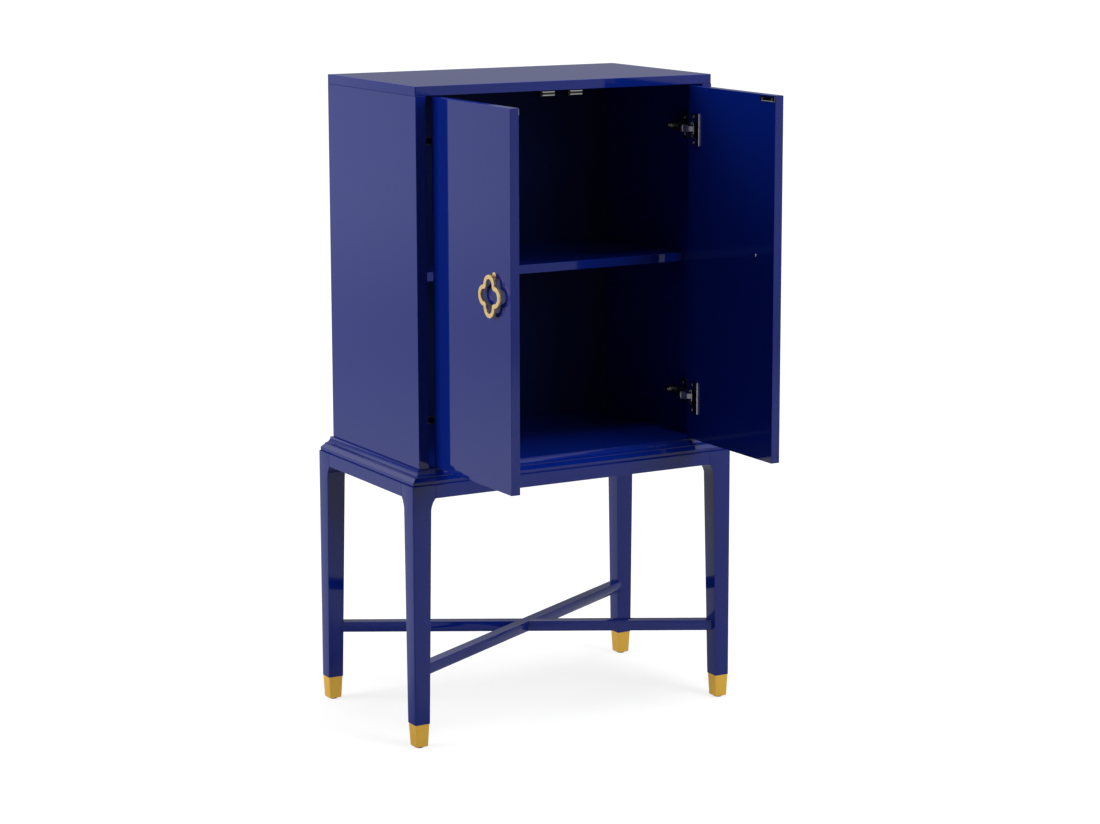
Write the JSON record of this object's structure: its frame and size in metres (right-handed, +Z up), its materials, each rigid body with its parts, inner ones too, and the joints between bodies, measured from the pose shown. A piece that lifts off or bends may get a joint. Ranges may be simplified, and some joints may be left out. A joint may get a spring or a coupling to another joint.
{
  "type": "two-door storage cabinet on stand",
  "caption": "Tall lacquered cabinet with inset doors on concealed hinges, a shelf and magnetic catches, on a tapered stand with crossed stretchers and metal feet.",
  "frame": {"origin": "on the floor, in the middle of the footprint of the cabinet with its doors open at a right angle", "axes": "+X to the right seen from the front, +Y to the back, +Z up; the doors open towards -Y"},
  "size_m": [0.7, 0.6692, 1.239],
  "materials": {
    "lacquered_wood": "high-gloss dark blue lacquer",
    "beech": "bare beech",
    "brass": "satin brass",
    "ring_brass": "polished pale brass",
    "nickel_steel": "bright nickel plate",
    "zinc_steel": "zinc-plated steel",
    "catch_housing": "dark moulded plastic",
    "magnet": "dark ceramic magnet",
    "glide_pad": "dark plastic glide"
  },
  "bodies": {
    "cabinet": {"top_panel": "lacquered_wood", "left_side": "lacquered_wood", "right_side": "lacquered_wood", "bottom_panel": "lacquered_wood", "back_panel": "lacquered_wood", "dowels": "beech", "shelf": "lacquered_wood", "shelf_pins": "nickel_steel", "base_board": "lacquered_wood", "frame_screws": "zinc_steel", "corner_blocks": "beech", "cove_front": "lacquered_wood", "cove_left": "lacquered_wood", "cove_right": "lacquered_wood", "apron_front": "lacquered_wood", "apron_back": "lacquered_wood", "apron_left": "lacquered_wood", "apron_right": "lacquered_wood", "leg_front_left": "lacquered_wood", "leg_front_right": "lacquered_wood", "leg_back_left": "lacquered_wood", "leg_back_right": "lacquered_wood", "ferrules": "brass", "glides": "glide_pad", "stretcher_lower": "lacquered_wood", "stretcher_upper": "lacquered_wood", "hinge_screws": "nickel_steel", "catch_bodies": "catch_housing", "catch_magnets": "magnet", "catch_poles": "zinc_steel", "catch_screws": "zinc_steel", "hinge_plates_left": "nickel_steel", "hinge_arms_left": "nickel_steel", "hinge_plates_right": "nickel_steel", "hinge_arms_right": "nickel_steel"},
    "left_links": {"hinge_links_left": "nickel_steel", "link_pins_left": "zinc_steel"},
    "left_door": {"door_left": "lacquered_wood", "hinge_cups_left": "nickel_steel", "door_screws_left": "nickel_steel", "strike_left": "zinc_steel", "pull_post_left": "ring_brass", "pull_pin_left": "ring_brass", "pull_bolt_left": "nickel_steel"},
    "left_ring": {"pull_ring_left": "ring_brass"},
    "right_links": {"hinge_links_right": "nickel_steel", "link_pins_right": "zinc_steel"},
    "right_door": {"door_right": "lacquered_wood", "hinge_cups_right": "nickel_steel", "door_screws_right": "nickel_steel", "strike_right": "zinc_steel", "pull_post_right": "ring_brass", "pull_pin_right": "ring_brass", "pull_bolt_right": "nickel_steel"},
    "right_ring": {"pull_ring_right": "ring_brass"}
  },
  "joints": [
    {"name": "left_link_swing", "type": "hinge", "parent": "cabinet", "child": "left_links", "pos_m": [-0.263, -0.02599, 0.8747], "axis": [0, 0, 1], "range_deg": [-62.6, 0]},
    {"name": "left_door_turn", "type": "hinge", "parent": "left_links", "child": "left_door", "pos_m": [-0.274, -0.048, 0.8747], "axis": [0, 0, 1], "range_deg": [0, 152.49]},
    {"name": "left_ring_swing", "type": "hinge", "parent": "left_door", "child": "left_ring", "pos_m": [-0.2954, -0.2744, 0.9175], "axis": [0, 1, 0], "range_deg": [-3.5, 80]},
    {"name": "right_link_swing", "type": "hinge", "parent": "cabinet", "child": "right_links", "pos_m": [0.263, -0.02599, 0.8747], "axis": [0, 0, -1], "range_deg": [-62.6, 0]},
    {"name": "right_door_turn", "type": "hinge", "parent": "right_links", "child": "right_door", "pos_m": [0.274, -0.048, 0.8747], "axis": [0, 0, -1], "range_deg": [0, 152.49]},
    {"name": "right_ring_swing", "type": "hinge", "parent": "right_door", "child": "right_ring", "pos_m": [0.2954, -0.2744, 0.9175], "axis": [0, -1, 0], "range_deg": [-3.5, 80]}
  ],
  "couplings": [
    {"joint": "left_link_swing", "follows": "left_door_turn", "ratio": -0.40981},
    {"joint": "right_link_swing", "follows": "right_door_turn", "ratio": -0.40981}
  ]
}
